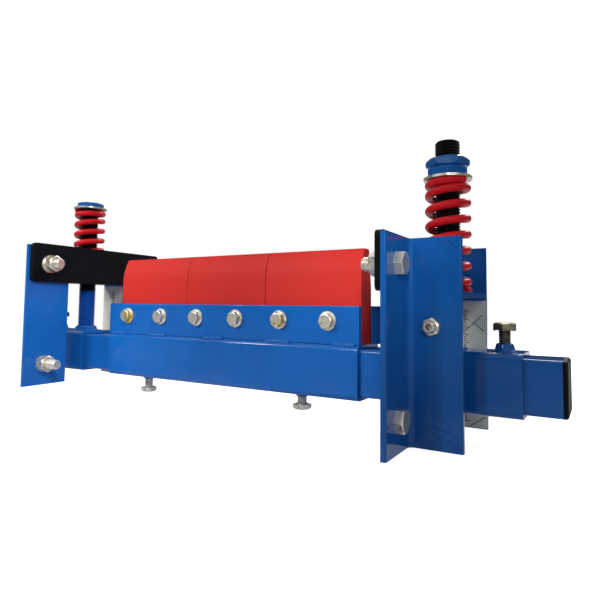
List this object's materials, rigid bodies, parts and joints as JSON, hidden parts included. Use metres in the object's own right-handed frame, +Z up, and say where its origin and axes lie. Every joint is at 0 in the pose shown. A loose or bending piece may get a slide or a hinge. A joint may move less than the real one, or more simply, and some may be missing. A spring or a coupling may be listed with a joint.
{
  "type": "conveyor belt scraper",
  "caption": "Spring-tensioned belt scraper: red blades clamped on a square pole that two sprung angle-iron frames lift against a conveyor belt.",
  "frame": {"origin": "on the surface that the part stands on, midway between the two lifting rods and under the pole's axis", "axes": "+X along the pole towards the end with the taller rod, +Y away from the side with the front clamp plate, +Z up, towards the belt"},
  "size_m": [0.938, 0.278, 0.3585],
  "materials": {
    "blue_paint": "gloss blue paint",
    "black_plate": "satin black paint",
    "black_rod": "black oxide",
    "red_spring": "gloss red powder coat",
    "red_polyurethane": "cast polyurethane, satin",
    "zinc_fastener": "zinc plated",
    "scale_aluminium": "anodised, dull",
    "black_plastic": "moulded, matt"
  },
  "bodies": {
    "pole": {"pole_tube": "blue_paint", "pole_end_cap_left": "black_plastic", "pole_end_cap_right": "black_plastic"},
    "blade_holder": {"holder_tube": "blue_paint", "front_clamp_plate": "blue_paint", "rear_clamp_plate": "blue_paint", "blade_left": "red_polyurethane", "blade_middle": "red_polyurethane", "blade_right": "red_polyurethane", "blade_bolts": "zinc_fastener", "blade_nuts": "zinc_fastener", "holder_weld_nuts": "blue_paint"},
    "holder_screw_left": {"holder_set_screw_left": "zinc_fastener"},
    "holder_screw_right": {"holder_set_screw_right": "zinc_fastener"},
    "carriage_left": {"sleeve_left": "blue_paint", "rod_collar_left": "blue_paint", "lifting_rod_left": "black_rod", "sleeve_weld_nut_left": "blue_paint"},
    "sleeve_screw_left": {"sleeve_set_screw_left": "zinc_fastener"},
    "washer_left": {"thrust_washer_left": "zinc_fastener"},
    "nut_left": {"tension_nut_left": "blue_paint"},
    "frame_left": {"near_angle_left": "blue_paint", "far_angle_left": "blue_paint", "cross_plate_left": "black_plate", "spring_seat_left": "blue_paint", "scale_plate_left": "scale_aluminium", "frame_bolts_left": "zinc_fastener", "frame_washers_left": "zinc_fastener", "frame_nuts_left": "zinc_fastener", "grub_lock_nut_left": "zinc_fastener", "coil_spring_left": "red_spring"},
    "grub_left": {"grub_screw_left": "black_rod"},
    "carriage_right": {"sleeve_right": "blue_paint", "rod_collar_right": "blue_paint", "lifting_rod_right": "black_rod", "sleeve_weld_nut_right": "blue_paint"},
    "sleeve_screw_right": {"sleeve_set_screw_right": "zinc_fastener"},
    "washer_right": {"thrust_washer_right": "zinc_fastener"},
    "nut_right": {"tension_nut_right": "blue_paint", "jam_nut_right": "blue_paint"},
    "frame_right": {"near_angle_right": "blue_paint", "far_angle_right": "blue_paint", "cross_plate_right": "black_plate", "spring_seat_right": "blue_paint", "scale_plate_right": "scale_aluminium", "frame_bolts_right": "zinc_fastener", "frame_washers_right": "zinc_fastener", "frame_nuts_right": "zinc_fastener", "grub_lock_nut_right": "zinc_fastener", "coil_spring_right": "red_spring"},
    "grub_right": {"grub_screw_right": "black_rod"}
  },
  "joints": [
    {"name": "holder_along_pole", "type": "slide", "parent": "pole", "child": "blade_holder", "axis": [1, 0, 0], "range_m": [-0.02, 0.02]},
    {"name": "holder_screw_left_slide", "type": "slide", "parent": "blade_holder", "child": "holder_screw_left", "axis": [0, 0, -1], "range_m": [0, 0.008]},
    {"name": "holder_screw_right_slide", "type": "slide", "parent": "blade_holder", "child": "holder_screw_right", "axis": [0, 0, -1], "range_m": [0, 0.008]},
    {"name": "carriage_left_along_pole", "type": "slide", "parent": "pole", "child": "carriage_left", "axis": [-1, 0, 0], "range_m": [-0.025, 0.035]},
    {"name": "sleeve_screw_left_slide", "type": "slide", "parent": "carriage_left", "child": "sleeve_screw_left", "axis": [0, 0, 1], "range_m": [0, 0.008]},
    {"name": "washer_left_slide", "type": "slide", "parent": "carriage_left", "child": "washer_left", "axis": [0, 0, 1], "range_m": [-0.0175, 0]},
    {"name": "nut_left_spin", "type": "hinge", "parent": "washer_left", "child": "nut_left", "pos_m": [-0.34, 0, 0.342], "axis": [0, 0, 1], "range_deg": [-1805, 5]},
    {"name": "spring_left_press", "type": "slide", "parent": "washer_left", "child": "frame_left", "axis": [0, 0, 1], "range_m": [0, 0.035], "stiffness_N_per_m": 12000, "springref_m": -0.02, "deforming": ["coil_spring_left"]},
    {"name": "grub_left_slide", "type": "slide", "parent": "frame_left", "child": "grub_left", "axis": [0, 1, 0], "range_m": [-0.006, 0.006]},
    {"name": "carriage_right_along_pole", "type": "slide", "parent": "pole", "child": "carriage_right", "axis": [1, 0, 0], "range_m": [-0.025, 0.035]},
    {"name": "sleeve_screw_right_slide", "type": "slide", "parent": "carriage_right", "child": "sleeve_screw_right", "axis": [0, 0, 1], "range_m": [0, 0.008]},
    {"name": "washer_right_slide", "type": "slide", "parent": "carriage_right", "child": "washer_right", "axis": [0, 0, 1], "range_m": [-0.0175, 0.0175]},
    {"name": "nut_right_spin", "type": "hinge", "parent": "washer_right", "child": "nut_right", "pos_m": [0.34, 0, 0.3195], "axis": [0, 0, 1], "range_deg": [-1805, 1805]},
    {"name": "spring_right_press", "type": "slide", "parent": "washer_right", "child": "frame_right", "axis": [0, 0, 1], "range_m": [0, 0.035], "stiffness_N_per_m": 12000, "springref_m": -0.02, "deforming": ["coil_spring_right"]},
    {"name": "grub_right_slide", "type": "slide", "parent": "frame_right", "child": "grub_right", "axis": [0, 1, 0], "range_m": [-0.006, 0.006]}
  ],
  "couplings": [
    {"joint": "nut_left_spin", "follows": "washer_left_slide", "rad_per_m": 1795.2},
    {"joint": "nut_right_spin", "follows": "washer_right_slide", "rad_per_m": 1795.2}
  ]
}
